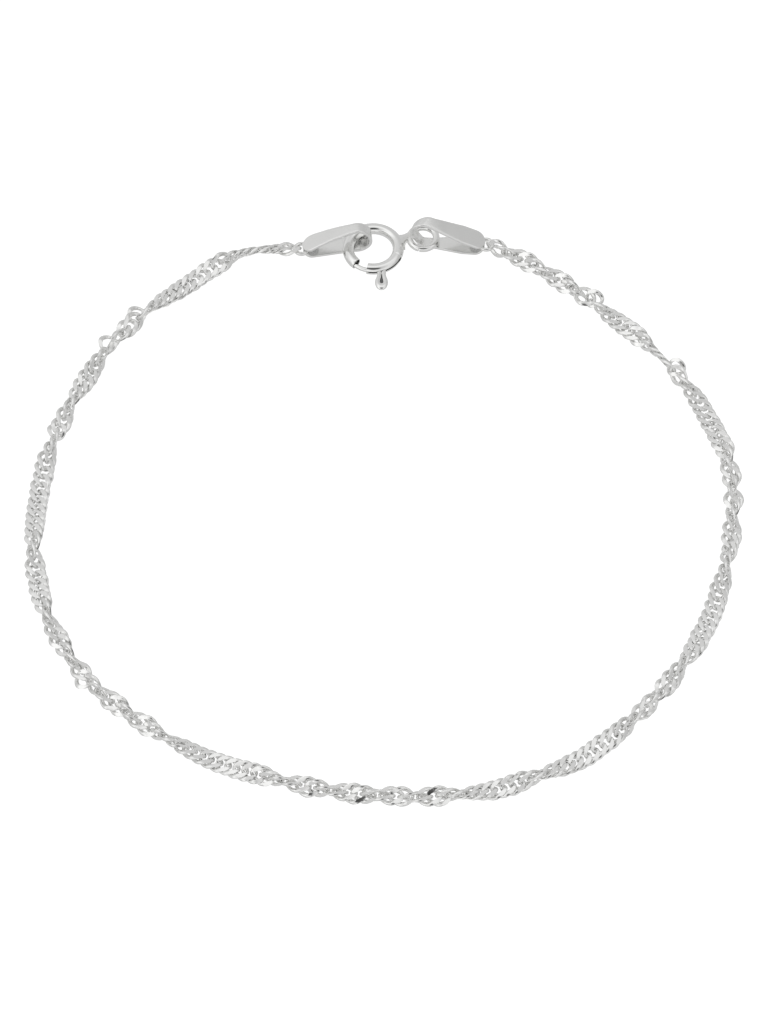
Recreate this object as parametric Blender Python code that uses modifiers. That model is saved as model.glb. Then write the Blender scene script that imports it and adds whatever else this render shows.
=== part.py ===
"""Singapore chain bracelet: a flattened, twisted curb chain laid in a loop, closed by a spring ring clasp."""

import math

import bmesh
import bpy
from mathutils import Vector

MM = 0.001

# Driving dimensions of the loop: how far the chain's middle line reaches across and back
LOOP_WIDTH = 60.4 * MM
LOOP_DEPTH = 58.4 * MM

# Driving dimensions of the chain
RIBBON_WIDTH = 1.6 * MM
RIBBON_THICKNESS = 0.6 * MM
RIBBON_SIDES = 8
STATION_STEP = 0.66 * MM
SAG_REACH = 1.5 * MM
CHAIN_END_GAP = 0.83 * MM
CHAIN_START_HEADING = math.radians(186.5)
CHAIN_FINISH_HEADING = math.radians(-33)

# Driving dimensions of the spring ring clasp
RING_OUTER = 5.5 * MM
RING_TUBE = 1.0 * MM
RING_WALL = 0.2 * MM
RING_SIDES = 18
RING_STEPS = 60
RING_GAP_START = math.radians(227)
RING_GAP_END = math.radians(257)
SLOT_END = math.radians(337)
SLOT_LOW = -0.02 * MM
SLOT_HIGH = 0.36 * MM
BOLT_WIRE = 0.42 * MM
BOLT_TIP = math.radians(222)
BOLT_TAIL = math.radians(301)
TRIGGER_ANGLE = math.radians(289.4)
TRIGGER_HEADING = math.radians(270)
TRIGGER_WIDTH = 1.14 * MM
TRIGGER_WIRE = 0.42 * MM
TRIGGER_HEIGHT = 0.26 * MM
TRIGGER_REACH = 2.53 * MM
TRIGGER_NECK = 0.36 * MM
EYELET_OUTER = 3.0 * MM
EYELET_WIRE = 0.6 * MM
EYELET_ANGLE = math.radians(16.8)
EYELET_GAP = 0.42 * MM
NECK_DIAMETER = 1.0 * MM
NECK_START_ANGLE = math.radians(24)
NECK_END_ANGLE = math.radians(168)

# Driving dimensions of the folded tags
STRIP = 0.3 * MM
LEFT_TAG_LENGTH = 6.2 * MM
RIGHT_TAG_LENGTH = 6.6 * MM
LEFT_FOLD_HEIGHT = 3.0 * MM
RIGHT_FOLD_HEIGHT = 3.3 * MM
RIGHT_FOLD_SKEW = 1.1
SKEW_FROM = 0.35
FOLD_WIDTH = 1.05 * MM
LEFT_TAB_WIDTH = 1.65 * MM
RIGHT_TAB_WIDTH = 1.92 * MM
TAB_ROUND = 0.9 * MM
NARROW_TO = 1.9 * MM
WIDE_FROM = 4.6 * MM
TAG_STEP = 0.2 * MM
LAYER_GAP = 0.27 * MM
CLEARANCE = 0.1 * MM

# Driving dimensions of the link that is soldered into each tag
END_LINK_OUTER = 1.5 * MM
END_LINK_WIRE = 0.36 * MM
END_LINK_SHOWS = 0.9 * MM

# Where the clasp lies, as shares of half the loop's width and depth, and how the tags point
CLASP_PLACE = (-0.0321, 0.9538)
LEFT_TAG_HEADING = math.radians(185.5)
RIGHT_TAG_HEADING = math.radians(-4.5)
LEFT_TIP_ANGLE = math.radians(96.6)
LEFT_TIP_SHARE = 0.546
RIGHT_TIP_SHARE = 0.35

# How finely curves and turned shapes are divided
ROUTE_STEPS = 24
FOLD_STEPS = 8
TAG_COLUMNS = 4
LINK_STEPS = 16
EYELET_STEPS = 32
BOLT_STEPS = 32
TRIGGER_STEPS = 16
SLOT_STEPS = 14
WIRE_BEVEL = 3
SLOT_OVERRUN = math.radians(4)
TRIGGER_OPEN = math.radians(150)
SHARP_ANGLE = math.radians(45)
WELD_REACH = 0.001 * MM

# The chain's route in plan between the tags, as shares of half the loop's width and depth
ROUTE = [
    (-0.3642, 0.9521), (-0.4603, 0.9178), (-0.6291, 0.7877), (-0.7781, 0.6233), (-0.8874, 0.4281),
    (-0.9636, 0.2158), (-1.0000, -0.0034), (-0.9934, -0.2295), (-0.9305, -0.4452), (-0.8113, -0.6336),
    (-0.6457, -0.7808), (-0.4536, -0.8870), (-0.2483, -0.9623), (-0.0331, -1.0000), (0.1854, -1.0000),
    (0.4007, -0.9486), (0.5894, -0.8425), (0.7483, -0.6884), (0.8742, -0.5000), (0.9570, -0.2911),
    (1.0000, -0.0719), (0.9967, 0.1541), (0.9272, 0.3664), (0.8046, 0.5548), (0.6556, 0.7158),
    (0.4868, 0.8596),
]

# The chain's twist: share of its length from the left tag, and half turns made by there
TWIST = [
    (0.000, 0.07), (0.015, 0.27), (0.031, 0.37), (0.044, 0.92), (0.074, 1.08), (0.089, 1.36),
    (0.112, 2.38), (0.125, 3.39), (0.161, 4.42), (0.185, 5.43), (0.204, 5.93), (0.242, 6.12),
    (0.253, 6.50), (0.264, 6.95), (0.283, 7.12), (0.294, 7.56), (0.324, 8.61), (0.347, 9.63),
    (0.369, 10.65), (0.390, 11.66), (0.410, 11.95), (0.439, 12.18), (0.455, 12.68), (0.479, 13.68),
    (0.503, 14.69), (0.521, 15.69), (0.543, 16.69), (0.557, 16.96), (0.572, 17.18), (0.585, 17.68),
    (0.601, 17.97), (0.625, 18.17), (0.644, 18.64), (0.659, 19.63), (0.685, 20.61), (0.694, 20.93),
    (0.731, 21.10), (0.750, 21.55), (0.780, 22.51), (0.796, 23.49), (0.813, 24.46), (0.825, 24.93),
    (0.855, 25.08), (0.868, 25.38), (0.881, 26.30), (0.897, 26.44), (0.907, 26.86), (0.923, 27.06),
    (0.933, 27.35), (0.948, 28.34), (0.970, 29.34), (0.992, 30.33), (1.000, 30.68),
]

# The folds seen from the side, from the surface up and round: shares of the fold's height
LEFT_BEND = [
    (0.867, 0.050), (0.383, 0.057), (0.140, 0.207), (0.050, 0.450), (0.113, 0.733), (0.327, 0.933),
    (0.600, 0.927),
]
RIGHT_BEND = [
    (0.818, 0.045), (0.424, 0.045), (0.291, 0.082), (0.218, 0.188), (0.142, 0.327), (0.045, 0.530),
    (0.085, 0.758), (0.250, 0.933), (0.485, 0.952),
]

PARTS = "singapore_chain_bracelet"
HELPERS = "helpers"


def clear_scene():
    for obj in list(bpy.data.objects):
        bpy.data.objects.remove(obj, do_unlink=True)


def add_collection(name):
    collection = bpy.data.collections.new(name)
    bpy.context.scene.collection.children.link(collection)
    return collection


def metal(name, colour, roughness):
    """Polished or satin silver."""
    material = bpy.data.materials.new(name)
    material.use_nodes = True
    shader = material.node_tree.nodes["Principled BSDF"]
    shader.inputs["Base Color"].default_value = (*colour, 1.0)
    shader.inputs["Metallic"].default_value = 1.0
    shader.inputs["Roughness"].default_value = roughness
    return material


def add_object(name, data, material=None):
    """A piece of the bracelet, or a helper where no material is given."""
    obj = bpy.data.objects.new(name, data)
    if material:
        data.materials.append(material)
        bpy.data.collections[PARTS].objects.link(obj)
    else:
        bpy.data.collections[HELPERS].objects.link(obj)
        obj.hide_render = True
        obj.display_type = "WIRE"
    return obj


def boolean(obj, other, operation):
    modifier = obj.modifiers.new(other.name, "BOOLEAN")
    modifier.object = other
    modifier.operation = operation


def poly_curve(name, points, cyclic=False):
    """A POLY curve through the points."""
    curve = bpy.data.curves.new(name, "CURVE")
    curve.dimensions = "3D"
    spline = curve.splines.new("POLY")
    spline.points.add(len(points) - 1)
    for point, place in zip(spline.points, points):
        point.co = (*place, 1.0)
    spline.use_cyclic_u = cyclic
    return curve


def wire_mesh(name, points, diameter, cyclic=False):
    """A round wire along the points, as a closed mesh."""
    curve = poly_curve(name, points, cyclic)
    curve.bevel_depth = diameter / 2
    curve.bevel_resolution = WIRE_BEVEL
    curve.use_fill_caps = not cyclic
    return mesh_of(name, curve)


def mesh_of(name, curve):
    """The curve's body as one closed mesh, with its caps welded on."""
    holder = bpy.data.objects.new(name + "_curve", curve)
    bpy.context.scene.collection.objects.link(holder)
    graph = bpy.context.evaluated_depsgraph_get()
    mesh = bpy.data.meshes.new_from_object(holder.evaluated_get(graph))
    bpy.data.objects.remove(holder, do_unlink=True)
    bpy.data.curves.remove(curve)
    weld(mesh)
    mesh.name = name
    mesh.shade_smooth()
    mesh.set_sharp_from_angle(angle=SHARP_ANGLE)
    return mesh


def weld(mesh):
    work = bmesh.new()
    work.from_mesh(mesh)
    bmesh.ops.remove_doubles(work, verts=work.verts, dist=WELD_REACH)
    bmesh.ops.recalc_face_normals(work, faces=work.faces)
    work.to_mesh(mesh)
    work.free()


def through(points, steps):
    """A smooth curve through the points, with so many steps between each two."""
    padded = [2 * points[0] - points[1], *points, 2 * points[-1] - points[-2]]
    curve = []
    for before, start, end, after in zip(padded, padded[1:], padded[2:], padded[3:]):
        for step in range(steps):
            t = step / steps
            tangent_in = (end - before) / 2
            tangent_out = (after - start) / 2
            curve.append(
                start * (2 * t**3 - 3 * t**2 + 1)
                + tangent_in * (t**3 - 2 * t**2 + t)
                + end * (3 * t**2 - 2 * t**3)
                + tangent_out * (t**3 - t**2)
            )
    curve.append(points[-1])
    return curve


def evenly(points, step):
    """The curve's points again, so many a step apart as nearly as fits."""
    arc = [0.0]
    for start, end in zip(points, points[1:]):
        arc.append(arc[-1] + (end - start).length)
    count = round(arc[-1] / step)
    placed = []
    at = 0
    for k in range(count + 1):
        wanted = arc[-1] * k / count
        while at < len(points) - 2 and arc[at + 1] < wanted:
            at += 1
        share = (wanted - arc[at]) / (arc[at + 1] - arc[at])
        placed.append(points[at].lerp(points[at + 1], share))
    return placed, arc[-1]


def half_turns(share):
    """The twist table read at a share of the chain's length, with slopes that never turn back."""
    shares = [row[0] for row in TWIST]
    turns = [row[1] for row in TWIST]
    slopes = [(b - a) / (t - s) for a, b, s, t in zip(turns, turns[1:], shares, shares[1:])]
    at = min(max(k for k in range(len(shares)) if shares[k] <= share), len(slopes) - 1)

    def tangent(k):
        if k == 0 or k == len(slopes):
            return slopes[min(k, len(slopes) - 1)]
        return 2 * slopes[k - 1] * slopes[k] / (slopes[k - 1] + slopes[k])

    width = shares[at + 1] - shares[at]
    t = (share - shares[at]) / width
    return (
        turns[at] * (2 * t**3 - 3 * t**2 + 1)
        + width * tangent(at) * (t**3 - 2 * t**2 + t)
        + turns[at + 1] * (3 * t**2 - 2 * t**3)
        + width * tangent(at + 1) * (t**3 - t**2)
    )


def band_outline():
    """Corners of the band's cross-section: an oval with flat sides."""
    turn = [2 * math.pi * (k + 0.5) / RIBBON_SIDES for k in range(RIBBON_SIDES)]
    grow = 0.5 / math.cos(math.pi / RIBBON_SIDES)
    return [(grow * RIBBON_WIDTH * math.cos(a), grow * RIBBON_THICKNESS * math.sin(a)) for a in turn]


def lift(angles, step):
    """The axis heights: the chain stands where its edge is down, and sags where it lies flat for long."""
    need = [
        max(-x * math.sin(angle) - y * math.cos(angle) for x, y in band_outline()) for angle in angles
    ]
    window = round(SAG_REACH / step)
    last = len(need) - 1
    held = [max(need[max(k - window, 0) : k + window + 1]) for k in range(last + 1)]
    heights = []
    for k in range(last + 1):
        near = [held[min(max(j, 0), last)] for j in range(k - window, k + window + 1)]
        heights.append(sum(near) / len(near))
    return heights


def chain_route(left_tag, right_tag):
    """The route's points, from one tag's end link round to the other's."""
    first = polar(end_link_place(left_tag), CHAIN_END_GAP, CHAIN_START_HEADING)
    last = polar(end_link_place(right_tag), CHAIN_END_GAP, CHAIN_FINISH_HEADING)
    between = [Vector((x * LOOP_WIDTH / 2, y * LOOP_DEPTH / 2, 0.0)) for x, y in ROUTE]
    return [first, *between, last]


def make_chain(left_tag, right_tag, material):
    """The chain's outer form: a flat band that twists right-handed along the route."""
    stations, length = evenly(through(chain_route(left_tag, right_tag), ROUTE_STEPS), STATION_STEP)
    step = length / (len(stations) - 1)
    angles = [math.pi * half_turns(k * step / length) for k in range(len(stations))]
    for place, height in zip(stations, lift(angles, step)):
        place.z = height

    outline = [(x, y, 0.0) for x, y in band_outline()]
    profile = add_object("chain_section", poly_curve("chain_section", outline, cyclic=True))
    profile.data.dimensions = "2D"

    curve = poly_curve("chain_route", stations)
    curve.twist_mode = "Z_UP"
    curve.bevel_mode = "OBJECT"
    curve.bevel_object = profile
    curve.use_fill_caps = True
    for point, angle in zip(curve.splines[0].points, angles):
        point.tilt = angle
    return add_object("chain", mesh_of("chain", curve), material)


def tag_profile(tag):
    """The strip's middle line seen from the side: along the surface, round the fold and down to the tab."""
    layer = STRIP / 2
    top_tab = Vector((tag["length"], 0, STRIP * 1.5 + LAYER_GAP))
    bottom_tab = Vector((tag["length"], 0, layer))
    bend = [Vector((x * tag["height"], 0, z * tag["height"])) for x, z in tag["bend"]]
    bend[0].z = layer
    return [bottom_tab, bottom_tab.lerp(bend[0], 0.5), *bend, bend[-1].lerp(top_tab, 0.5), top_tab]


def end_link_reach(tag):
    """How far from the fold's tip the end link's middle lies."""
    return tag["length"] + END_LINK_SHOWS - END_LINK_OUTER / 2


def end_link_place(tag):
    return polar(tag["tip"], end_link_reach(tag), tag["heading"])


def make_tag(name, tag, material):
    """A folded strip with rounded tab ends and the end link soldered between them."""
    line, length = evenly(through(tag_profile(tag), FOLD_STEPS), TAG_STEP)
    for point in line:
        point.z = max(point.z, STRIP / 2)
    vertices = []
    faces = []
    for k, point in enumerate(line):
        along = length * k / (len(line) - 1)
        from_end = max(min(along, length - along), TAB_ROUND / 30)
        widened = min(max((point.x - NARROW_TO) / (WIDE_FROM - NARROW_TO), 0), 1)
        width = FOLD_WIDTH + (tag["width"] - FOLD_WIDTH) * widened
        if from_end < TAB_ROUND:
            width *= math.sqrt(1 - (1 - from_end / TAB_ROUND) ** 2)
        skew = tag["skew"] * max(point.z / tag["height"] - SKEW_FROM, 0) * max(1 - point.x / WIDE_FROM, 0)
        for c in range(TAG_COLUMNS + 1):
            sideways = width * (c / TAG_COLUMNS - 0.5)
            vertices.append((point.x + skew * sideways, sideways, point.z))
    for k in range(len(line) - 1):
        for c in range(TAG_COLUMNS):
            a = k * (TAG_COLUMNS + 1) + c
            faces.append((a, a + 1, a + TAG_COLUMNS + 2, a + TAG_COLUMNS + 1))
    mesh = bpy.data.meshes.new(name)
    mesh.from_pydata(vertices, [], faces)
    mesh.shade_smooth()
    strip = add_object(name, mesh, material)
    strip.location = tag["tip"]
    strip.rotation_euler.z = tag["heading"]
    thick = strip.modifiers.new("strip thickness", "SOLIDIFY")
    thick.thickness = STRIP
    thick.offset = 0
    thick.use_even_offset = True

    radius = (END_LINK_OUTER - END_LINK_WIRE) / 2
    middle = Vector((end_link_reach(tag), 0, STRIP + LAYER_GAP / 2))
    turn = [2 * math.pi * k / LINK_STEPS for k in range(LINK_STEPS)]
    circle = [middle + radius * Vector((math.cos(a), math.sin(a), 0)) for a in turn]
    link = add_object(name + "_end_link", wire_mesh(name + "_end_link", circle, END_LINK_WIRE, cyclic=True))
    link.parent = strip
    boolean(strip, link, "UNION")


def left_fold():
    """The left tag: its loop stands high enough for the ring's tube to lie inside it."""
    inner = ring_radius() - RING_TUBE / 2
    return {
        "length": LEFT_TAG_LENGTH,
        "width": LEFT_TAB_WIDTH,
        "height": LEFT_FOLD_HEIGHT,
        "skew": 0,
        "bend": LEFT_BEND,
        "tip": polar(clasp_centre(), LEFT_TIP_SHARE * inner, LEFT_TIP_ANGLE),
        "heading": LEFT_TAG_HEADING,
    }


def right_fold():
    """The right tag: it comes up through the eyelet's hole and folds back over the top."""
    return {
        "length": RIGHT_TAG_LENGTH,
        "width": RIGHT_TAB_WIDTH,
        "height": RIGHT_FOLD_HEIGHT,
        "skew": RIGHT_FOLD_SKEW,
        "bend": RIGHT_BEND,
        "tip": eyelet_centre() - Vector((RIGHT_TIP_SHARE * EYELET_OUTER, 0, 0)),
        "heading": RIGHT_TAG_HEADING,
    }


def ring_radius():
    return (RING_OUTER - RING_TUBE) / 2


def ring_height():
    """The ring rests on the lower layer of the tag."""
    return STRIP + CLEARANCE + RING_TUBE / 2


def section_mesh(name, points):
    """A closed outline in the XZ plane for a Screw modifier."""
    mesh = bpy.data.meshes.new(name)
    edges = [(k, (k + 1) % len(points)) for k in range(len(points))]
    mesh.from_pydata([(x, 0, z) for x, z in points], edges, [])
    return mesh


def turned(obj, angle, steps):
    screw = obj.modifiers.new("turned", "SCREW")
    screw.angle = angle
    screw.steps = steps
    screw.render_steps = steps
    screw.use_normal_calculate = True


def box_section(inner, outer, low, high):
    """A rectangle's corners, down its outer side first."""
    return [(outer, high), (outer, low), (inner, low), (inner, high)]


def polar(centre, distance, angle):
    return centre + distance * Vector((math.cos(angle), math.sin(angle), 0))


def clasp_centre():
    """The middle of the clasp's ring in plan."""
    return Vector((CLASP_PLACE[0] * LOOP_WIDTH / 2, CLASP_PLACE[1] * LOOP_DEPTH / 2, 0))


def eyelet_centre():
    return polar(clasp_centre(), RING_OUTER / 2 + EYELET_GAP + EYELET_OUTER / 2, EYELET_ANGLE)


def ring_place():
    return clasp_centre() + Vector((0, 0, ring_height()))


def eyelet_place():
    """The eyelet's right side rests on the lower layer of the right tag."""
    return eyelet_centre() + Vector((0, 0, STRIP + CLEARANCE + EYELET_WIRE / 2))


def make_eyelet():
    """The eyelet and the neck that joins it to the ring, as helpers for the ring's unions."""
    radius = (EYELET_OUTER - EYELET_WIRE) / 2
    turn = [2 * math.pi * k / EYELET_STEPS for k in range(EYELET_STEPS)]
    circle = [polar(Vector((0, 0, 0)), radius, a) for a in turn]
    eyelet = add_object("eyelet", wire_mesh("eyelet", circle, EYELET_WIRE, cyclic=True))
    eyelet.location = eyelet_place()

    start = polar(ring_place(), ring_radius() + (RING_TUBE - RING_WALL) / 2, NECK_START_ANGLE)
    end = polar(eyelet_place(), EYELET_OUTER / 2 - EYELET_WIRE / 4, NECK_END_ANGLE)
    neck = add_object("neck", wire_mesh("neck", [start, start.lerp(end, 0.5), end], NECK_DIAMETER))
    return eyelet, neck


def make_ring(material):
    """The clasp's hollow ring with its slot, and the eyelet soldered on by a short neck."""
    radius = ring_radius()
    turn = [2 * math.pi * k / RING_SIDES for k in range(RING_SIDES)]
    outline = [(radius + RING_TUBE / 2 * math.cos(a), -RING_TUBE / 2 * math.sin(a)) for a in turn]
    ring = add_object("spring_ring", section_mesh("spring_ring", outline), material)
    ring.location = ring_place()
    ring.rotation_euler.z = RING_GAP_END
    turned(ring, 2 * math.pi - (RING_GAP_END - RING_GAP_START), RING_STEPS)
    wall = ring.modifiers.new("wall", "SOLIDIFY")
    wall.thickness = RING_WALL
    wall.offset = -1

    section = box_section(radius, RING_OUTER, SLOT_LOW, SLOT_HIGH)
    cutter = [Vector((x, 0, z)) for x, z in section]
    vertices = []
    for k in range(SLOT_STEPS + 1):
        angle = (SLOT_END - RING_GAP_END + SLOT_OVERRUN) * k / SLOT_STEPS
        vertices += [(p.x * math.cos(angle), p.x * math.sin(angle), p.z) for p in cutter]
    faces = [(0, 3, 2, 1), tuple(4 * SLOT_STEPS + c for c in range(4))]
    for k in range(SLOT_STEPS):
        for c in range(4):
            a, b = 4 * k + c, 4 * k + (c + 1) % 4
            faces.append((a, b, b + 4, a + 4))
    mesh = bpy.data.meshes.new("slot_cutter")
    mesh.from_pydata(vertices, [], faces)
    weld(mesh)
    slot = add_object("slot_cutter", mesh)
    slot.location = ring.location
    slot.rotation_euler.z = RING_GAP_END - SLOT_OVERRUN

    eyelet, neck = make_eyelet()
    boolean(ring, neck, "UNION")
    boolean(ring, eyelet, "UNION")
    boolean(ring, slot, "DIFFERENCE")


def make_bolt(material):
    """The bolt wire, which closes the ring's gap, and the bent-wire trigger soldered on it."""
    radius = ring_radius()
    span = BOLT_TAIL - BOLT_TIP
    origin = Vector((0, 0, 0))
    arc = [polar(origin, radius, BOLT_TIP + span * k / BOLT_STEPS) for k in range(BOLT_STEPS + 1)]
    bolt = add_object("bolt", wire_mesh("bolt", arc, BOLT_WIRE), material)
    bolt.location = ring_place()

    loop = (TRIGGER_WIDTH - TRIGGER_WIRE) / 2
    neck = TRIGGER_NECK / 2
    root = TRIGGER_WIRE / 2 + CLEARANCE
    outside = RING_TUBE / 2 + CLEARANCE
    turn = [TRIGGER_OPEN * (2 * k / TRIGGER_STEPS - 1) for k in range(TRIGGER_STEPS + 1)]
    start = [Vector((root, -neck, 0)), Vector((outside, -neck, 0))]
    end = [Vector((outside, neck, 0)), Vector((root, neck, 0))]
    head = [polar(Vector((TRIGGER_REACH - TRIGGER_WIDTH / 2, 0, 0)), loop, a) for a in turn]
    trigger = add_object("trigger", wire_mesh("trigger", start + head + end, TRIGGER_WIRE, cyclic=True))
    trigger.location = polar(bolt.location, radius, TRIGGER_ANGLE)
    trigger.location.z += (SLOT_LOW + SLOT_HIGH) / 2
    trigger.rotation_euler.z = TRIGGER_HEADING
    trigger.scale.z = TRIGGER_HEIGHT / TRIGGER_WIRE
    boolean(bolt, trigger, "UNION")


def lay_out():
    """Puts the whole bracelet under one empty, so that its outline is centred on the origin."""
    bpy.context.view_layer.update()
    graph = bpy.context.evaluated_depsgraph_get()
    places = []
    for obj in bpy.data.collections[PARTS].objects:
        shape = obj.evaluated_get(graph).to_mesh()
        places += [obj.matrix_world @ vertex.co for vertex in shape.vertices]
    across = [place.x for place in places]
    back = [place.y for place in places]

    centre = bpy.data.objects.new("bracelet", None)
    bpy.data.collections[PARTS].objects.link(centre)
    for obj in list(bpy.data.objects):
        if obj is not centre and obj.parent is None:
            obj.parent = centre
    centre.location.x = -(min(across) + max(across)) / 2
    centre.location.y = -(min(back) + max(back)) / 2


def build():
    clear_scene()
    add_collection(PARTS)
    add_collection(HELPERS)
    polished = metal("polished_silver", (0.86, 0.86, 0.85), 0.12)
    satin = metal("satin_silver", (0.8, 0.8, 0.79), 0.3)
    bright = metal("bright_silver", (0.9, 0.9, 0.89), 0.18)
    left_tag = left_fold()
    right_tag = right_fold()
    make_chain(left_tag, right_tag, bright)
    make_tag("tag_left", left_tag, satin)
    make_tag("tag_right", right_tag, satin)
    make_ring(polished)
    make_bolt(polished)
    lay_out()


build()
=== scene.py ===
"""Silver singapore chain bracelet, lying closed on a pale surface under soft studio light."""

import math

import bpy
import numpy as np
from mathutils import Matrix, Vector


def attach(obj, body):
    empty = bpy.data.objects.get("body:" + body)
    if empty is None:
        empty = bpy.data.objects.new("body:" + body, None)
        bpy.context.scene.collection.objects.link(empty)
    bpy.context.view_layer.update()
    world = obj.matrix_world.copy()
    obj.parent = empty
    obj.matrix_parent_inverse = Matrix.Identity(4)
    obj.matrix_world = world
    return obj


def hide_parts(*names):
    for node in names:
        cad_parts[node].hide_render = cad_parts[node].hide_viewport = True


MM = 0.001

# The camera of the photograph: how far it stands, how steeply it looks down and how long its lens is
CAMERA_DISTANCE = 480 * MM
CAMERA_ELEVATION = math.radians(56)
CAMERA_LENS = 194.06
CAMERA_SENSOR = 36.0
CAMERA_NEAREST = 0.01
CAMERA_FARTHEST = 10

# The loop and the chain's band; the route is in shares of the loop's half width and half depth
LOOP_WIDTH = 60.4 * MM
LOOP_DEPTH = 58.4 * MM
PLAN_SHIFT = Vector((-0.031 * MM, -0.269 * MM, 0.0))
RIBBON_WIDTH = 1.72 * MM
RIBBON_THICKNESS = 0.56 * MM
RIBBON_SIDES = 8
STATION_STEP = 0.66 * MM
SAG_REACH = 1.5 * MM
CHAIN_END_GAP = 0.83 * MM
CHAIN_START_HEADING = math.radians(186.5)
CHAIN_FINISH_HEADING = math.radians(-33)
ROUTE_STEPS = 24
ROUTE = [
    (-0.3642, 0.9521), (-0.4603, 0.9178), (-0.6291, 0.7877), (-0.7781, 0.6233), (-0.8874, 0.4281),
    (-0.9636, 0.2158), (-1.0000, -0.0034), (-0.9934, -0.2295), (-0.9305, -0.4452), (-0.8113, -0.6336),
    (-0.6457, -0.7808), (-0.4536, -0.8870), (-0.2483, -0.9623), (-0.0331, -1.0000), (0.1854, -1.0000),
    (0.4007, -0.9486), (0.5894, -0.8425), (0.7483, -0.6884), (0.8742, -0.5000), (0.9570, -0.2911),
    (1.0000, -0.0719), (0.9967, 0.1541), (0.9272, 0.3664), (0.8046, 0.5548), (0.6556, 0.7158),
    (0.4868, 0.8596),
]

# The chain's twist: a share of its length, and the half turns it has made by there
TWIST = [
    (0.000, 0.07), (0.015, 0.27), (0.031, 0.37), (0.044, 0.92), (0.074, 1.08), (0.089, 1.36),
    (0.112, 2.38), (0.125, 3.39), (0.161, 4.42), (0.185, 5.43), (0.204, 5.93), (0.242, 6.12),
    (0.253, 6.50), (0.264, 6.95), (0.283, 7.12), (0.294, 7.56), (0.324, 8.61), (0.347, 9.63),
    (0.369, 10.65), (0.390, 11.66), (0.410, 11.95), (0.439, 12.18), (0.455, 12.68), (0.479, 13.68),
    (0.503, 14.69), (0.521, 15.69), (0.543, 16.69), (0.557, 16.96), (0.572, 17.18), (0.585, 17.68),
    (0.601, 17.97), (0.625, 18.17), (0.644, 18.64), (0.659, 19.63), (0.685, 20.61), (0.694, 20.93),
    (0.731, 21.10), (0.750, 21.55), (0.780, 22.51), (0.796, 23.49), (0.813, 24.46), (0.825, 24.93),
    (0.855, 25.08), (0.868, 25.38), (0.881, 26.30), (0.897, 26.44), (0.907, 26.86), (0.923, 27.06),
    (0.933, 27.35), (0.948, 28.34), (0.970, 29.34), (0.992, 30.33), (1.000, 30.68),
]

# One link: a wire bent to a long oval with straight sides, bowed like a saddle, its faces cut flat
LINK_PITCH = 0.79 * MM
FIRST_LINK = 0.3 * MM
LINK_HALF_LENGTH = 1.0 * MM
LINK_HALF_WIDTH = 0.72 * MM
LINK_POWER = 1.5
LINK_BOW = 0.25 * MM
LINK_FOLLOWS = 0.3
WIRE_SLIM = 0.27 * MM
WIRE_WIDE = 0.42 * MM
WIRE_HIGH = 0.32 * MM
CUT_HEIGHT = 0.24 * MM
LINK_STEPS = 36
LINK_SIDES = 12
FINER = 10
CUT_SHARPNESS = 25

# Links that hang out of the row: share of the chain's length, and how many millimetres outward
ODD_LINKS = [
    (0.0946, 0.40), (0.1193, 0.38), (0.1783, 0.10), (0.3362, 0.38), (0.8748, 0.30), (0.9390, 0.32),
]
ODD_HALF_LENGTH = 0.72 * MM
ODD_HALF_WIDTH = 0.66 * MM
ODD_POWER = 2.1
CHANCE_SEED = 11
UNEVEN_ROLL = math.radians(4)
UNEVEN_PLACE = 0.025 * MM

# The clasp: its place in shares of the loop's half sizes, then its ring, slot, walls, bolt and trigger
CLASP_PLACE = (-0.0321, 0.9538)
RING_OUTER = 5.5 * MM
RING_TUBE = 1.0 * MM
RING_GAP_START = math.radians(228.5)
RING_GAP_END = math.radians(257)
SLOT_END = math.radians(337)
SLOT_LOW = 0.05 * MM
SLOT_HIGH = 0.24 * MM
MOUTH_WALL = 0.09 * MM
MOUTH_EDGE = 0.03 * MM
MOUTH_DEEP = 0.3
SLOT_WALL = 0.10 * MM
SLOT_EDGE = 0.01 * MM
SLOT_DEEP = 0.75
SLOT_OVERLAP = 0.01
BOLT_WIRE = 0.42 * MM
BOLT_TIP = math.radians(222)
BOLT_TAIL = math.radians(335)
BOLT_SHIFT = 0.18 * MM
TRIGGER_ANGLE = math.radians(289.4)
TRIGGER_HEADING = math.radians(270)
TRIGGER_LIFT = 0.145 * MM
TRIGGER_HEIGHT = 0.15 * MM
TRIGGER_WIRE = 0.42 * MM
TRIGGER_DROP = 0.04 * MM
TRIGGER_INSIDE = 0.55
TRIGGER_STEP = 0.4
# A dark plate set low in the trigger's opening: painted shade standing in for the shadow seen through it
SHADE_PLATE_DROP = 0.12 * MM
SHADE_PLATE_WIDTH = 0.3 * MM
SHADE_PLATE_THICKNESS = 0.08 * MM
SHADE_PLATE_REACH = (0.75, 1.0, 1.3, 1.6, 1.85)

# One side of the trigger's bent wire, in millimetres: distance from the ring, half the opening, width
TRIGGER_SIDE = [
    (0.31, 0.20, 0.38), (0.62, 0.20, 0.38), (0.90, 0.21, 0.38), (1.15, 0.25, 0.40), (1.40, 0.32, 0.44),
    (1.65, 0.35, 0.46), (1.88, 0.31, 0.52), (2.05, 0.20, 0.64), (2.13, 0.08, 0.74),
]
TRIGGER_END = (2.14, 0.0, 0.76)

# The rounding of the bolt wire's ends: shares of its radius along the wire and outward
BOLT_ROUND = [(0.0, 0.15), (0.25, 0.66), (0.6, 0.92), (1.0, 1.0)]

# The eyelet and the solder that joins it to the ring
EYELET_OUTER = 3.0 * MM
EYELET_WIRE = 0.6 * MM
EYELET_GAP = 0.42 * MM
EYELET_ANGLE = math.radians(16.8)
EYELET_SEAM = math.radians(254)
SEAM_OPENING = 0.036
NECK_START = math.radians(20)
NECK_SUNK = 0.12 * MM
NECK_FINISH = math.radians(170)
NECK_SHARE = 0.45
NECK_WIDTH = (0.72, 1.5, 0.12)
NECK_HEIGHT = (0.62, 0.24)

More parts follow.
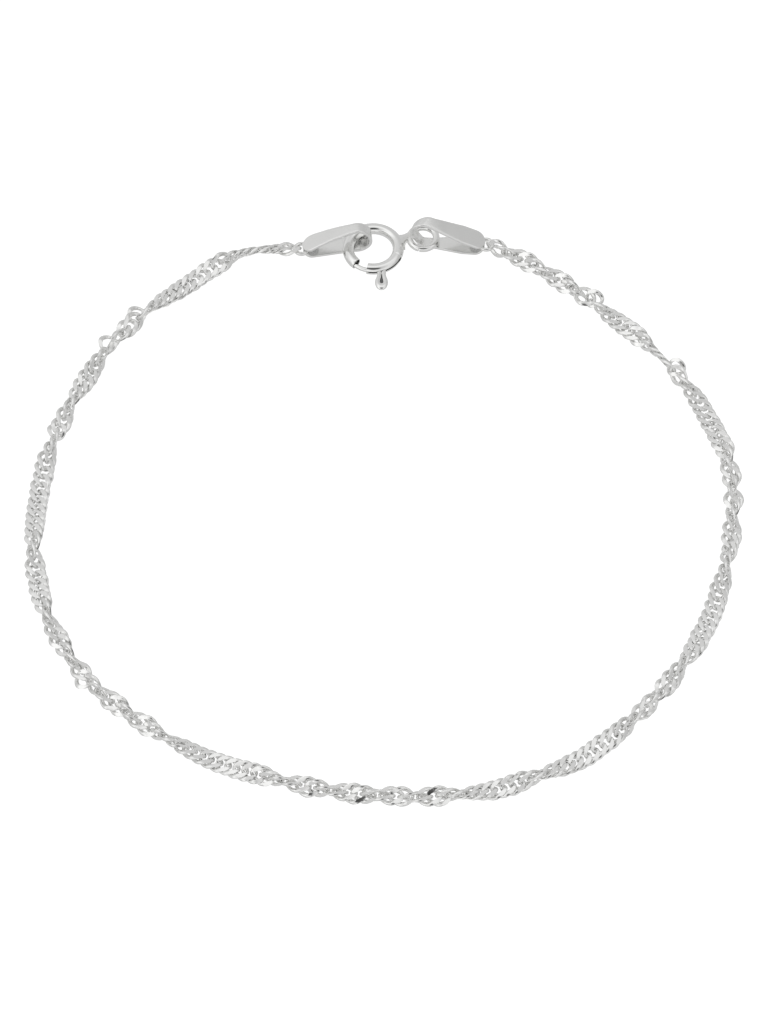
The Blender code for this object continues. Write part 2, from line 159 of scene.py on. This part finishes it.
# The folded tags; each bend is in shares of the fold's height
STRIP = 0.3 * MM
CLEARANCE = 0.1 * MM
LAYER_GAP = 0.27 * MM
FOLD_WIDTH = 1.05 * MM
TAB_ROUND = 0.9 * MM
NARROW_TO = 1.9 * MM
SKEW_FROM = 0.35
SKEW_REACH = 4.6 * MM
LOW_PART = 2.2
LOW_FALL = 4
STRIP_STEP = 0.09 * MM
STRIP_EDGE = 0.09 * MM
TAB_BLUNT = 30
END_LINK_OUTER = 1.5 * MM
END_LINK_WIRE = 0.36 * MM
END_LINK_SHOWS = 0.9 * MM
LEFT_TAG = {
    "length": 6.2 * MM,
    "width": 1.65 * MM,
    "height": 3.0 * MM,
    "skew": 0.0,
    "back": 0.6 * MM,
    "arch": 0.22 * MM,
    "wide_from": 5.6 * MM,
    "heading": math.radians(185.5),
    "bend": [
        (0.867, 0.050), (0.383, 0.057), (0.140, 0.207), (0.050, 0.450), (0.113, 0.733), (0.327, 0.933),
        (0.600, 0.927),
    ],
}
RIGHT_TAG = {
    "length": 6.6 * MM,
    "width": 1.92 * MM,
    "height": 3.3 * MM,
    "skew": 1.1,
    "back": 0.0,
    "arch": 0.0,
    "wide_from": 4.6 * MM,
    "heading": math.radians(-4.5),
    "bend": [
        (0.818, 0.045), (0.424, 0.045), (0.291, 0.082), (0.218, 0.188), (0.142, 0.327), (0.045, 0.530),
        (0.085, 0.758), (0.250, 0.933), (0.485, 0.952),
    ],
}
LEFT_TIP = (0.956 * MM, math.radians(96.6))
RIGHT_TIP_SHARE = 0.35
SOLDER_BACK = 0.75 * MM
SOLDER_SIZE = (0.62 * MM, 0.86 * MM, 0.17 * MM)

# How finely the pieces are divided: steps along them, sides round them, and the angle of a hard edge
RING_STEPS = 90
RING_SIDES = 32
SLOTTED_STEPS = 44
SLOTTED_OUTSIDE = 40
SLOTTED_INSIDE = 28
BOLT_STEPS = 60
BOLT_SIDES = 24
TRIGGER_STEPS = 5
TRIGGER_SIDES = 20
EYELET_STEPS = 90
EYELET_SIDES = 24
NECK_STEPS = 20
NECK_SIDES = 28
STRIP_STEPS = 12
END_LINK_STEPS = 48
HARD_EDGE = 50

# The silver's surface: depth of its grain, and size of the slow waves in worked strip
GRAIN_DEPTH = 0.02 * MM
WAVE_SIZE = 2.4 * MM

# The table and the white tent: how bright each place of the tent is, from behind the table to the lens
FLOOR_SIZE = 3
FLOOR_COLOUR = 0.25
FLOOR_GLOW = 0.93
FLOOR_MIRRORED = 0.58
FLOOR_STEP = 0.02 * MM
TENT_BACK = 0.64
TENT_OPENING = 0.05
TENT = [(0.2, 0.62), (0.38, 0.68), (0.58, 0.92), (0.78, 0.88), (0.94, 0.6), (0.962, 0.12)]
TENT_SIDEWAYS = -0.18


def polar(centre, distance, angle):
    return centre + distance * Vector((math.cos(angle), math.sin(angle), 0))


def ring_radius():
    return (RING_OUTER - RING_TUBE) / 2


def clasp_centre():
    x, y = CLASP_PLACE
    return Vector((x * LOOP_WIDTH / 2, y * LOOP_DEPTH / 2, 0)) + PLAN_SHIFT


def eyelet_centre():
    return polar(clasp_centre(), RING_OUTER / 2 + EYELET_GAP + EYELET_OUTER / 2, EYELET_ANGLE)


def ring_place():
    return clasp_centre() + Vector((0, 0, STRIP + CLEARANCE + RING_TUBE / 2))


def eyelet_place():
    return eyelet_centre() + Vector((0, 0, STRIP + CLEARANCE + EYELET_WIRE / 2))


def end_link_place(tag):
    return polar(tag["tip"], tag["length"] + END_LINK_SHOWS - END_LINK_OUTER / 2, tag["heading"])


def through(points, steps):
    """A smooth curve through the points, with so many steps between each two."""
    padded = [2 * points[0] - points[1], *points, 2 * points[-1] - points[-2]]
    curve = []
    for before, start, end, after in zip(padded, padded[1:], padded[2:], padded[3:]):
        for step in range(steps):
            t = step / steps
            tangent_in = (end - before) / 2
            tangent_out = (after - start) / 2
            curve.append(
                start * (2 * t**3 - 3 * t**2 + 1)
                + tangent_in * (t**3 - 2 * t**2 + t)
                + end * (3 * t**2 - 2 * t**3)
                + tangent_out * (t**3 - t**2)
            )
    curve.append(points[-1])
    return curve


def evenly(points, step):
    """The curve's points again, so many a step apart as nearly as fits."""
    arc = [0.0]
    for start, end in zip(points, points[1:]):
        arc.append(arc[-1] + (end - start).length)
    count = round(arc[-1] / step)
    placed = []
    at = 0
    for k in range(count + 1):
        wanted = arc[-1] * k / count
        while at < len(points) - 2 and arc[at + 1] < wanted:
            at += 1
        share = (wanted - arc[at]) / (arc[at + 1] - arc[at])
        placed.append(points[at].lerp(points[at + 1], share))
    return placed, arc[-1]


def half_turns(share):
    """The twist table read at a share of the chain's length, with slopes that never turn back."""
    shares = [row[0] for row in TWIST]
    turns = [row[1] for row in TWIST]
    slopes = [(b - a) / (t - s) for a, b, s, t in zip(turns, turns[1:], shares, shares[1:])]
    at = min(max(k for k in range(len(shares)) if shares[k] <= share), len(slopes) - 1)

    def tangent(k):
        if k == 0 or k == len(slopes):
            return slopes[min(k, len(slopes) - 1)]
        return 2 * slopes[k - 1] * slopes[k] / (slopes[k - 1] + slopes[k])

    width = shares[at + 1] - shares[at]
    t = (share - shares[at]) / width
    return (
        turns[at] * (2 * t**3 - 3 * t**2 + 1)
        + width * tangent(at) * (t**3 - 2 * t**2 + t)
        + turns[at + 1] * (3 * t**2 - 2 * t**3)
        + width * tangent(at + 1) * (t**3 - t**2)
    )


def band_outline():
    """Corners of the cross-section that the band's height above the surface is reckoned from."""
    turn = [2 * math.pi * (k + 0.5) / RIBBON_SIDES for k in range(RIBBON_SIDES)]
    grow = 0.5 / math.cos(math.pi / RIBBON_SIDES)
    return [(grow * RIBBON_WIDTH * math.cos(a), grow * RIBBON_THICKNESS * math.sin(a)) for a in turn]


def lift(angles, step):
    """The axis heights: the chain stands where its edge is down, and sags where it lies flat for long."""
    need = [
        max(-x * math.sin(angle) - y * math.cos(angle) for x, y in band_outline()) for angle in angles
    ]
    window = round(SAG_REACH / step)
    last = len(need) - 1
    held = [max(need[max(k - window, 0) : k + window + 1]) for k in range(last + 1)]
    heights = []
    for k in range(last + 1):
        near = [held[min(max(j, 0), last)] for j in range(k - window, k + window + 1)]
        heights.append(sum(near) / len(near))
    return heights


def chain_course():
    """The chain's course: arc lengths, places and twist angles, with a straight bit past each end."""
    first = polar(end_link_place(LEFT_TAG), CHAIN_END_GAP, CHAIN_START_HEADING)
    last = polar(end_link_place(RIGHT_TAG), CHAIN_END_GAP, CHAIN_FINISH_HEADING)
    between = [Vector((x * LOOP_WIDTH / 2, y * LOOP_DEPTH / 2, 0.0)) + PLAN_SHIFT for x, y in ROUTE]
    stations, length = evenly(through([first, *between, last], ROUTE_STEPS), STATION_STEP)
    step = length / (len(stations) - 1)
    angles = [math.pi * half_turns(k * step / length) for k in range(len(stations))]
    spots = [(p.x, p.y, h) for p, h in zip(stations, lift(angles, step))]
    return np.linspace(0.0, length, len(stations)), np.array(spots), np.array(angles)


def circle(count):
    return np.linspace(0, 2 * np.pi, count, endpoint=False)


def link_shape(a, b, power):
    """One link as rings of points, and for each point whether it lies on a cut."""
    fine = circle(LINK_STEPS * FINER)
    swell = (np.abs(np.cos(fine)) ** power + np.abs(np.sin(fine)) ** power) ** (-1 / power)
    oval = np.stack([a * np.cos(fine) * swell, b * np.sin(fine) * swell, -LINK_BOW * np.sin(2 * fine)], 1)
    tangent = np.roll(oval, -FINER // 2, axis=0) - np.roll(oval, FINER // 2, axis=0)
    tangent = (tangent / np.linalg.norm(tangent, axis=1)[:, None])[::FINER]
    centre = oval[::FINER]
    outward = np.cross(tangent, np.array([0.0, 0.0, 1.0]))
    outward /= np.linalg.norm(outward, axis=1)[:, None]
    up = np.cross(outward, tangent)
    v = circle(LINK_SIDES)
    width = WIRE_SLIM + (WIRE_WIDE - WIRE_SLIM) * np.abs(np.sin(circle(LINK_STEPS)))
    ring_out = (width[:, None] / 2 * np.cos(v))[:, :, None] * outward[:, None]
    ring_up = WIRE_HIGH / 2 * np.sin(v)[None, :, None] * up[:, None]
    points = (centre[:, None] + ring_out + ring_up).reshape(-1, 3)
    cut = np.abs(points[:, 2]) > CUT_HEIGHT
    points[:, 2] = np.clip(points[:, 2], -CUT_HEIGHT, CUT_HEIGHT)
    return points, cut


def tube_faces(steps, sides, closed=True):
    """Quads between neighbouring rings of points, with the two ends capped where it isn't closed."""
    faces = []
    for k in range(steps if closed else steps - 1):
        for c in range(sides):
            a = k * sides + c
            b = k * sides + (c + 1) % sides
            d = (k + 1) % steps * sides
            faces.append((a, b, d + (c + 1) % sides, d + c))
    if not closed:
        faces.append(tuple(range(sides - 1, -1, -1)))
        faces.append(tuple((steps - 1) * sides + c for c in range(sides)))
    return faces


def add_mesh(name, points, faces, material, sharp=40):
    mesh = bpy.data.meshes.new(name)
    mesh.from_pydata([tuple(p) for p in points], [], [tuple(int(i) for i in f) for f in faces])
    mesh.materials.append(material)
    mesh.shade_smooth()
    mesh.set_sharp_from_angle(angle=math.radians(sharp))
    obj = bpy.data.objects.new(name, mesh)
    bpy.context.scene.collection.objects.link(obj)
    return obj


def sweep(name, path, across, up, sections, material, closed=False, sharp=40):
    """A body whose cross-section, given in the directions across and up, moves along the path."""
    path, across, up, sections = (np.asarray(v, float) for v in (path, across, up, sections))
    points = path[:, None] + sections[..., :1] * across[:, None] + sections[..., 1:] * up[:, None]
    steps, sides = sections.shape[:2]
    return add_mesh(name, points.reshape(-1, 3), tube_faces(steps, sides, closed), material, sharp)


def round_section(width, height, sides):
    v = circle(sides)
    return np.stack([width / 2 * np.cos(v), height / 2 * np.sin(v)], 1)


def flat_wire(name, points, widths, heights, material, closed=False, sides=20):
    """A wire whose path lies level, with its own width and height at each point."""
    path = np.array([tuple(p) for p in points])
    ahead = np.roll(path, -1, axis=0) - np.roll(path, 1, axis=0)
    if not closed:
        ahead[0] = path[1] - path[0]
        ahead[-1] = path[-1] - path[-2]
    ahead /= np.linalg.norm(ahead, axis=1)[:, None]
    across = np.stack([ahead[:, 1], -ahead[:, 0], 0 * ahead[:, 0]], 1)
    across /= np.linalg.norm(across, axis=1)[:, None]
    up = np.cross(across, ahead)
    sections = np.array([round_section(w, h, sides) for w, h in zip(widths, heights)])
    return sweep(name, path, across, up, sections, material, closed)


def link_turned_out(points, middle, along, side, outward):
    """A link that hangs out of the row, with its opening turned to the front and up."""
    front = np.array([0.0, -math.cos(CAMERA_ELEVATION), math.sin(CAMERA_ELEVATION)])
    out = front - front @ along * along
    out /= np.linalg.norm(out)
    across = np.cross(out, along)
    return middle - outward * MM * side + points @ np.array([along, across, out])


def make_chain(wire, flat):
    """All the links, each turned with the band and bent a little with its twist."""
    link, cut = link_shape(LINK_HALF_LENGTH, LINK_HALF_WIDTH, LINK_POWER)
    odd_link, _ = link_shape(ODD_HALF_LENGTH, ODD_HALF_WIDTH, ODD_POWER)
    quads = np.array(tube_faces(LINK_STEPS, LINK_SIDES))
    arc, spots, angles = chain_course()
    length = arc[-1]
    count = int((length - FIRST_LINK) / LINK_PITCH) + 1
    odd = {round((share * length - FIRST_LINK) / LINK_PITCH): out for share, out in ODD_LINKS}
    chance = np.random.default_rng(CHANCE_SEED)
    upward = np.array([0.0, 0.0, 1.0])
    links = []
    for k in range(count):
        s = FIRST_LINK + LINK_PITCH * k
        middle = np.array([np.interp(s, arc, spots[:, c]) for c in range(3)])
        reach = np.clip([s - LINK_PITCH, s + LINK_PITCH], 0, length)
        along = np.array([*np.diff([np.interp(reach, arc, spots[:, c]) for c in range(2)])[:, 0], 0.0])
        along /= np.linalg.norm(along)
        side = np.array([-along[1], along[0], 0.0])
        roll, push = chance.normal(size=2)
        if k in odd:
            links.append(link_turned_out(odd_link, middle, along, side, odd[k]))
            continue
        angle = np.interp(s + LINK_FOLLOWS * link[:, 0], arc, angles) + UNEVEN_ROLL * roll
        cos = np.cos(angle)[:, None]
        sin = np.sin(angle)[:, None]
        across = cos * side + sin * upward
        out = -sin * side + cos * upward
        bent = link[:, :1] * along + link[:, 1:2] * across + link[:, 2:] * out
        links.append(middle + push * UNEVEN_PLACE * side + bent)
    points = np.vstack(links)
    points[:, 2] = np.maximum(points[:, 2], 0)
    faces = np.vstack([quads + k * len(link) for k in range(count)])
    chain = add_mesh("chain_links", points, faces, wire, sharp=CUT_SHARPNESS)
    chain.data.materials.append(flat)
    is_flat = np.tile(cut[quads].all(axis=1), count).astype(np.int32)
    chain.data.polygons.foreach_set("material_index", is_flat)
    return chain


def turned_tube(name, profile, material, sides=RING_SIDES, shift=0.0):
    """A round tube bent to the ring's circle: the profile gives the angle and the tube's radius there."""
    radius = ring_radius() + shift
    angles = np.array([p[0] for p in profile])
    outward = np.stack([np.cos(angles), np.sin(angles), 0 * angles], 1)
    up = np.tile([0.0, 0.0, 1.0], (len(angles), 1))
    path = np.array(ring_place()) + radius * outward
    sections = np.array([round_section(2 * p[1], 2 * p[1], sides) for p in profile])
    return sweep(name, path, outward, up, sections, material)


def rounded_end(angle, inward, radius, inner, edge, deep):
    """The end of a tube wall, from deep inside the tube over its rounded rim to the outside."""
    turn = edge / ring_radius() * inward
    steps = 10
    wall = [(angle + deep * inward + (turn - deep * inward) * k / steps, inner) for k in range(steps)]
    return [
        *wall,
        (angle + turn, inner),
        (angle + turn * 0.3, inner + edge * 0.3),
        (angle, inner + edge),
        (angle, radius - edge),
        (angle + turn * 0.3, radius - edge * 0.3),
        (angle + turn, radius),
    ]


def arc_points(radius, start, finish, steps):
    return [(radius * math.cos(v), radius * math.sin(v)) for v in np.linspace(start, finish, steps)]


def slotted_section(outer, inner):
    """The tube's cross-section where its outer side is slotted: the trigger slides in the slot."""
    high_out, high_in = (math.asin(SLOT_HIGH / radius) for radius in (outer, inner))
    low_out, low_in = (2 * math.pi + math.asin(SLOT_LOW / radius) for radius in (outer, inner))
    outside = arc_points(outer, high_out, low_out, SLOTTED_OUTSIDE)
    return outside + arc_points(inner, low_in, high_in, SLOTTED_INSIDE)


def make_ring(material):
    """The hollow ring in two parts: the whole tube, and the part whose side is slotted for the trigger."""
    outer = RING_TUBE / 2
    start = SLOT_END
    finish = RING_GAP_START + 2 * math.pi
    span = finish - start
    middle = [(start + span * k / RING_STEPS, outer) for k in range(2, RING_STEPS - 1)]
    head = rounded_end(start, 1, outer, outer - SLOT_WALL, SLOT_EDGE, SLOT_DEEP)
    tail = rounded_end(finish, -1, outer, outer - MOUTH_WALL, MOUTH_EDGE, MOUTH_DEEP)
    tube = turned_tube("ring_tube", head + middle + tail[::-1], material)

    section = slotted_section(outer, outer - SLOT_WALL)
    angles = np.linspace(RING_GAP_END, SLOT_END + SLOT_OVERLAP, SLOTTED_STEPS)
    outward = np.stack([np.cos(angles), np.sin(angles), 0 * angles], 1)
    up = np.tile([0.0, 0.0, 1.0], (len(angles), 1))
    path = np.array(ring_place()) + ring_radius() * outward
    sections = [section] * len(angles)
    slotted = sweep("ring_slotted", path, outward, up, sections, material, sharp=HARD_EDGE)
    return [tube, slotted]


def make_eyelet(material):
    """The eyelet, open by a hair at its seam, and the solder that flares from it into the ring."""
    radius = (EYELET_OUTER - EYELET_WIRE) / 2
    first = EYELET_SEAM + SEAM_OPENING
    last = EYELET_SEAM + 2 * math.pi - SEAM_OPENING
    points = [polar(eyelet_place(), radius, a) for a in np.linspace(first, last, EYELET_STEPS)]
    thick = [EYELET_WIRE] * len(points)
    eyelet = flat_wire("eyelet", points, thick, thick, material, sides=EYELET_SIDES)

    start = polar(ring_place(), ring_radius() + NECK_SUNK, NECK_START)
    finish = polar(eyelet_place(), EYELET_OUTER / 2 - EYELET_WIRE * NECK_SHARE, NECK_FINISH)
    shares = np.linspace(0, 1, NECK_STEPS)
    path = [start.lerp(finish, t) for t in shares]
    ahead = np.array(finish - start)
    ahead /= np.linalg.norm(ahead)
    across = np.array([ahead[1], -ahead[0], 0.0])
    across /= np.linalg.norm(across)
    up = np.cross(across, ahead)
    sections = []
    least, at_ring, at_eyelet = NECK_WIDTH
    low, rise = NECK_HEIGHT
    for t in shares:
        width = (least + at_ring * (1 - t) ** 3 + at_eyelet * t**3) * MM
        height = (low + rise * (1 - t) ** 2) * MM
        sections.append(round_section(width, height, NECK_SIDES))
    count = len(path)
    neck = sweep("solder_neck", [tuple(p) for p in path], [across] * count, [up] * count, sections, material)
    return [eyelet, neck]


def make_bolt(material, painted_shade):
    """The bolt wire, its trigger (a loop of wire bent to a drop), and a dark plate set low in the trigger's
    opening that is painted shade for the shadow seen through it.
    """
    radius = BOLT_WIRE / 2
    turn = radius / ring_radius()
    head = [(BOLT_TIP + turn * s, radius * r) for s, r in BOLT_ROUND]
    tail = [(BOLT_TAIL - turn * s, radius * r) for s, r in BOLT_ROUND]
    span = BOLT_TAIL - BOLT_TIP - 2 * turn
    middle = [(BOLT_TIP + turn + span * k / BOLT_STEPS, radius) for k in range(1, BOLT_STEPS)]
    bolt = turned_tube("bolt_wire", head + middle + tail[::-1], material, BOLT_SIDES, BOLT_SHIFT)

    one_side = [(x, -y, w) for x, y, w in TRIGGER_SIDE]
    loop = [*one_side, TRIGGER_END, *reversed(TRIGGER_SIDE)]
    smooth = through([Vector(row) * MM for row in loop], TRIGGER_STEPS)
    # The dark plate in the trigger's opening is painted shade for the shadow seen through it
    shade_plate = [Vector((x * MM, 0.0, SHADE_PLATE_WIDTH)) for x in SHADE_PLATE_REACH]
    origin = polar(ring_place(), ring_radius(), TRIGGER_ANGLE) + Vector((0, 0, TRIGGER_LIFT))
    cos = math.cos(TRIGGER_HEADING)
    sin = math.sin(TRIGGER_HEADING)

    def placed(points, drop):
        turned = [Vector((p.x * cos - p.y * sin, p.x * sin + p.y * cos, 0)) for p in points]
        outside = [min(max((p.x / MM - TRIGGER_INSIDE) / TRIGGER_STEP, 0), 1) for p in points]
        return [origin + p + Vector((0, 0, -drop * o)) for p, o in zip(turned, outside)], outside

    path, outside = placed(smooth, TRIGGER_DROP)
    heights = [TRIGGER_HEIGHT + (TRIGGER_WIRE - TRIGGER_HEIGHT) * o for o in outside]
    trigger = flat_wire("trigger", path, [p.z for p in smooth], heights, material, sides=TRIGGER_SIDES)
    path, _ = placed(shade_plate, SHADE_PLATE_DROP)
    widths = [SHADE_PLATE_WIDTH] * len(shade_plate)
    inside = flat_wire("trigger_web", path, widths, [SHADE_PLATE_THICKNESS] * len(shade_plate), painted_shade)
    return [bolt, trigger, inside]


def tag_profile(tag):
    """The strip's middle line seen from the side: along the surface, round the fold and down to the tab."""
    layer = STRIP / 2
    top_tab = Vector((tag["length"], 0, STRIP * 1.5 + LAYER_GAP))
    bottom_tab = Vector((tag["length"], 0, layer))
    bend = [Vector((x * tag["height"], 0, z * tag["height"])) for x, z in tag["bend"]]
    bend[0].z = layer
    crown = bend[-1].lerp(top_tab, 0.5) + Vector((0, 0, tag["arch"]))
    return [bottom_tab, bottom_tab.lerp(bend[0], 0.5), *bend, crown, top_tab]


def strip_section(width, edge):
    """The strip's cross-section with rounded edges: places across and through it."""
    half = width / 2
    thick = STRIP / 2
    edge = min(edge, half * 0.9)
    corner = [(math.sin(a), math.cos(a)) for a in np.linspace(0, math.pi / 2, 5)]
    right = [(half - edge + edge * s, thick - edge + edge * c) for s, c in corner]
    flat = [((half - edge) * f, thick) for f in (-0.66, -0.33, 0.0, 0.33, 0.66)]
    left = [(-x, z) for x, z in reversed(right)]
    upper = left + flat + right
    return upper + [(x, -z) for x, z in reversed(upper)]


def make_tag(name, tag, material):
    """A folded strip with rounded tab ends and soft edges."""
    line, length = evenly(through(tag_profile(tag), STRIP_STEPS), STRIP_STEP)
    count = len(line)
    path = []
    across = []
    up = []
    sections = []
    for point in line:
        point.z = max(point.z, STRIP / 2)
    for k, point in enumerate(line):
        ahead = line[min(k + 1, count - 1)] - line[max(k - 1, 0)]
        ahead.normalize()
        normal = np.array([-ahead.z, 0.0, ahead.x])
        along = length * k / (count - 1)
        from_end = max(min(along, length - along), TAB_ROUND / TAB_BLUNT)
        widened = min(max((point.x - NARROW_TO) / (tag["wide_from"] - NARROW_TO), 0), 1)
        width = FOLD_WIDTH + (tag["width"] - FOLD_WIDTH) * widened
        if from_end < TAB_ROUND:
            width *= math.sqrt(1 - (1 - from_end / TAB_ROUND) ** 2)
        skew = tag["skew"] * max(point.z / tag["height"] - SKEW_FROM, 0)
        skew *= max(1 - point.x / SKEW_REACH, 0)
        low = min(max(LOW_PART - LOW_FALL * point.z / tag["height"], 0), 1)
        back = tag["back"] * low * (1 - widened)
        path.append((point.x, -back / 2, point.z))
        across.append((skew, 1.0, 0.0))
        up.append(normal)
        sections.append(strip_section(width + back, STRIP_EDGE))
    obj = sweep(name, path, across, up, sections, material, sharp=HARD_EDGE)
    obj.location = tag["tip"]
    obj.rotation_euler.z = tag["heading"]
    return obj


def make_end_link(name, tag, material):
    """The link soldered between a tag's layers, which the chain's first link goes through."""
    centre = end_link_place(tag) + Vector((0, 0, STRIP + LAYER_GAP / 2))
    points = [polar(centre, (END_LINK_OUTER - END_LINK_WIRE) / 2, a) for a in circle(END_LINK_STEPS)]
    thick = [END_LINK_WIRE] * len(points)
    return flat_wire(name, points, thick, thick, material, closed=True)


def make_solder(name, tag, material):
    """The lump of solder that closes a tag's layers on its end link."""
    bpy.ops.mesh.primitive_uv_sphere_add(segments=32, ring_count=16, radius=1)
    lump = bpy.context.object
    lump.name = name
    lump.location = polar(tag["tip"], tag["length"] - SOLDER_BACK, tag["heading"])
    lump.location.z = STRIP + LAYER_GAP / 2
    lump.scale = SOLDER_SIZE
    lump.rotation_euler.z = tag["heading"]
    lump.data.materials.append(material)
    lump.data.shade_smooth()
    return lump


def silver(name, colour, roughness, grain, depth, waves=0.0):
    """Silver with a fine grain, its size in millimetres and its strength, and waves so many deep."""
    material = bpy.data.materials.new(name)
    material.use_nodes = True
    nodes = material.node_tree.nodes
    links = material.node_tree.links
    shader = nodes["Principled BSDF"]
    shader.inputs["Base Color"].default_value = (*colour, 1)
    shader.inputs["Metallic"].default_value = 1.0
    shader.inputs["Roughness"].default_value = roughness
    place = nodes.new("ShaderNodeTexCoord")
    noise = nodes.new("ShaderNodeTexNoise")
    noise.inputs["Scale"].default_value = 1 / (grain * MM)
    noise.inputs["Detail"].default_value = 3.0
    bump = nodes.new("ShaderNodeBump")
    bump.inputs["Strength"].default_value = depth
    bump.inputs["Distance"].default_value = GRAIN_DEPTH
    links.new(place.outputs["Object"], noise.inputs["Vector"])
    links.new(noise.outputs["Fac"], bump.inputs["Height"])
    links.new(bump.outputs["Normal"], shader.inputs["Normal"])
    if waves:
        slow = nodes.new("ShaderNodeTexNoise")
        slow.inputs["Scale"].default_value = 1 / WAVE_SIZE
        slow.inputs["Detail"].default_value = 1.0
        swell = nodes.new("ShaderNodeBump")
        swell.inputs["Strength"].default_value = 1.0
        swell.inputs["Distance"].default_value = waves * MM
        links.new(place.outputs["Object"], slow.inputs["Vector"])
        links.new(slow.outputs["Fac"], swell.inputs["Height"])
        links.new(swell.outputs["Normal"], bump.inputs["Normal"])
    return material


def add_camera():
    data = bpy.data.cameras.new("camera")
    data.sensor_fit = "VERTICAL"
    data.sensor_height = CAMERA_SENSOR
    data.lens = CAMERA_LENS
    data.clip_start = CAMERA_NEAREST
    data.clip_end = CAMERA_FARTHEST
    camera = bpy.data.objects.new("camera", data)
    bpy.context.scene.collection.objects.link(camera)
    back = Vector((0, -math.cos(CAMERA_ELEVATION), math.sin(CAMERA_ELEVATION)))
    camera.location = PLAN_SHIFT + CAMERA_DISTANCE * back
    camera.rotation_euler = (math.pi / 2 - CAMERA_ELEVATION, 0, 0)
    bpy.context.scene.camera = camera


def plain_material(name, colour, glow):
    material = bpy.data.materials.new(name)
    material.use_nodes = True
    shader = material.node_tree.nodes["Principled BSDF"]
    shader.inputs["Base Color"].default_value = (colour, colour, colour, 1)
    shader.inputs["Roughness"].default_value = 1.0
    shader.inputs["Specular IOR Level"].default_value = 0.0
    shader.inputs["Emission Color"].default_value = (1, 1, 1, 1)
    shader.inputs["Emission Strength"].default_value = glow
    return material


def add_floor():
    """A white table that glows, and under it the greyer one that the silver mirrors."""
    bpy.ops.mesh.primitive_plane_add(size=FLOOR_SIZE)
    white = bpy.context.object
    white.name = "floor"
    white.data.materials.append(plain_material("floor", FLOOR_COLOUR, FLOOR_GLOW))
    white.visible_glossy = False
    bpy.ops.mesh.primitive_plane_add(size=FLOOR_SIZE, location=(0, 0, -FLOOR_STEP))
    grey = bpy.context.object
    grey.name = "floor_mirrored"
    grey.data.materials.append(plain_material("floor_mirrored", FLOOR_MIRRORED, 0.0))


def add_world():
    """A white tent with a dark opening where the photographer stands."""
    world = bpy.data.worlds.new("studio")
    bpy.context.scene.world = world
    world.use_nodes = True
    nodes = world.node_tree.nodes
    links = world.node_tree.links
    background = nodes["Background"]
    place = nodes.new("ShaderNodeTexCoord")
    toward = nodes.new("ShaderNodeVectorMath")
    toward.operation = "DOT_PRODUCT"
    toward.inputs[1].default_value = (0, -math.cos(CAMERA_ELEVATION), math.sin(CAMERA_ELEVATION))
    ramp = nodes.new("ShaderNodeValToRGB")
    links.new(place.outputs["Generated"], toward.inputs[0])
    links.new(toward.outputs["Value"], ramp.inputs[0])
    links.new(ramp.outputs[0], background.inputs["Color"])
    sideways = nodes.new("ShaderNodeVectorMath")
    sideways.operation = "DOT_PRODUCT"
    sideways.inputs[1].default_value = (TENT_SIDEWAYS, 0, 0)
    strength = nodes.new("ShaderNodeMath")
    strength.operation = "ADD"
    strength.inputs[1].default_value = 1.0
    links.new(place.outputs["Generated"], sideways.inputs[0])
    links.new(sideways.outputs["Value"], strength.inputs[0])
    links.new(strength.outputs[0], background.inputs["Strength"])
    stops = ramp.color_ramp.elements
    stops[0].position = 0.0
    stops[0].color = (TENT_BACK, TENT_BACK, TENT_BACK, 1)
    stops[1].position = 1.0
    stops[1].color = (TENT_OPENING, TENT_OPENING, TENT_OPENING, 1)
    for position, value in TENT:
        stop = stops.new(position)
        stop.color = (value, value, value, 1)


def add_to_body(pieces, body, node):
    for piece in pieces:
        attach(piece, body)
        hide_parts(node)


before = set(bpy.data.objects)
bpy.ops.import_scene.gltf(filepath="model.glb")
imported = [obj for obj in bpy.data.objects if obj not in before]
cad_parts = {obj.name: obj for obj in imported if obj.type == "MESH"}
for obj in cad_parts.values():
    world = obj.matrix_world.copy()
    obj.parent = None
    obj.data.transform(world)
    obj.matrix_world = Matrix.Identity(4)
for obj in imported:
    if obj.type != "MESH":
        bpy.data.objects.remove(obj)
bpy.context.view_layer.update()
LEFT_TAG["tip"] = polar(clasp_centre(), *LEFT_TIP)
RIGHT_TAG["tip"] = eyelet_centre() - Vector((RIGHT_TIP_SHARE * EYELET_OUTER, 0, 0))
add_camera()
add_floor()
add_world()
bpy.context.scene.view_settings.view_transform = "Standard"

link_wire = silver("silver_link_wire", (0.9, 0.9, 0.89), 0.2, 0.12, 0.25)
link_cut = silver("silver_diamond_cut", (0.95, 0.95, 0.94), 0.08, 0.3, 0.1)
polished = silver("silver_polished", (0.92, 0.92, 0.91), 0.09, 0.5, 0.08)
# Dark silver for the plate in the trigger's opening: painted shade
painted_shade = silver("silver_recess", (0.2, 0.2, 0.2), 0.5, 0.1, 0.2)
satin_left = silver("silver_satin_left", (0.88, 0.88, 0.87), 0.24, 0.1, 0.35, waves=0.12)
satin_right = silver("silver_satin_right", (0.89, 0.89, 0.88), 0.22, 0.1, 0.35, waves=0.12)

add_to_body([make_chain(link_wire, link_cut)], "bracelet", "chain")
add_to_body([*make_ring(polished), *make_eyelet(polished)], "bracelet", "spring_ring")
add_to_body(make_bolt(polished, painted_shade), "bolt", "bolt")
for node, tag, satin in (("tag_left", LEFT_TAG, satin_left), ("tag_right", RIGHT_TAG, satin_right)):
    strip = make_tag(node + "_strip", tag, satin)
    link = make_end_link(node + "_link", tag, link_wire)
    add_to_body([strip, link, make_solder(node + "_solder", tag, satin)], "bracelet", node)
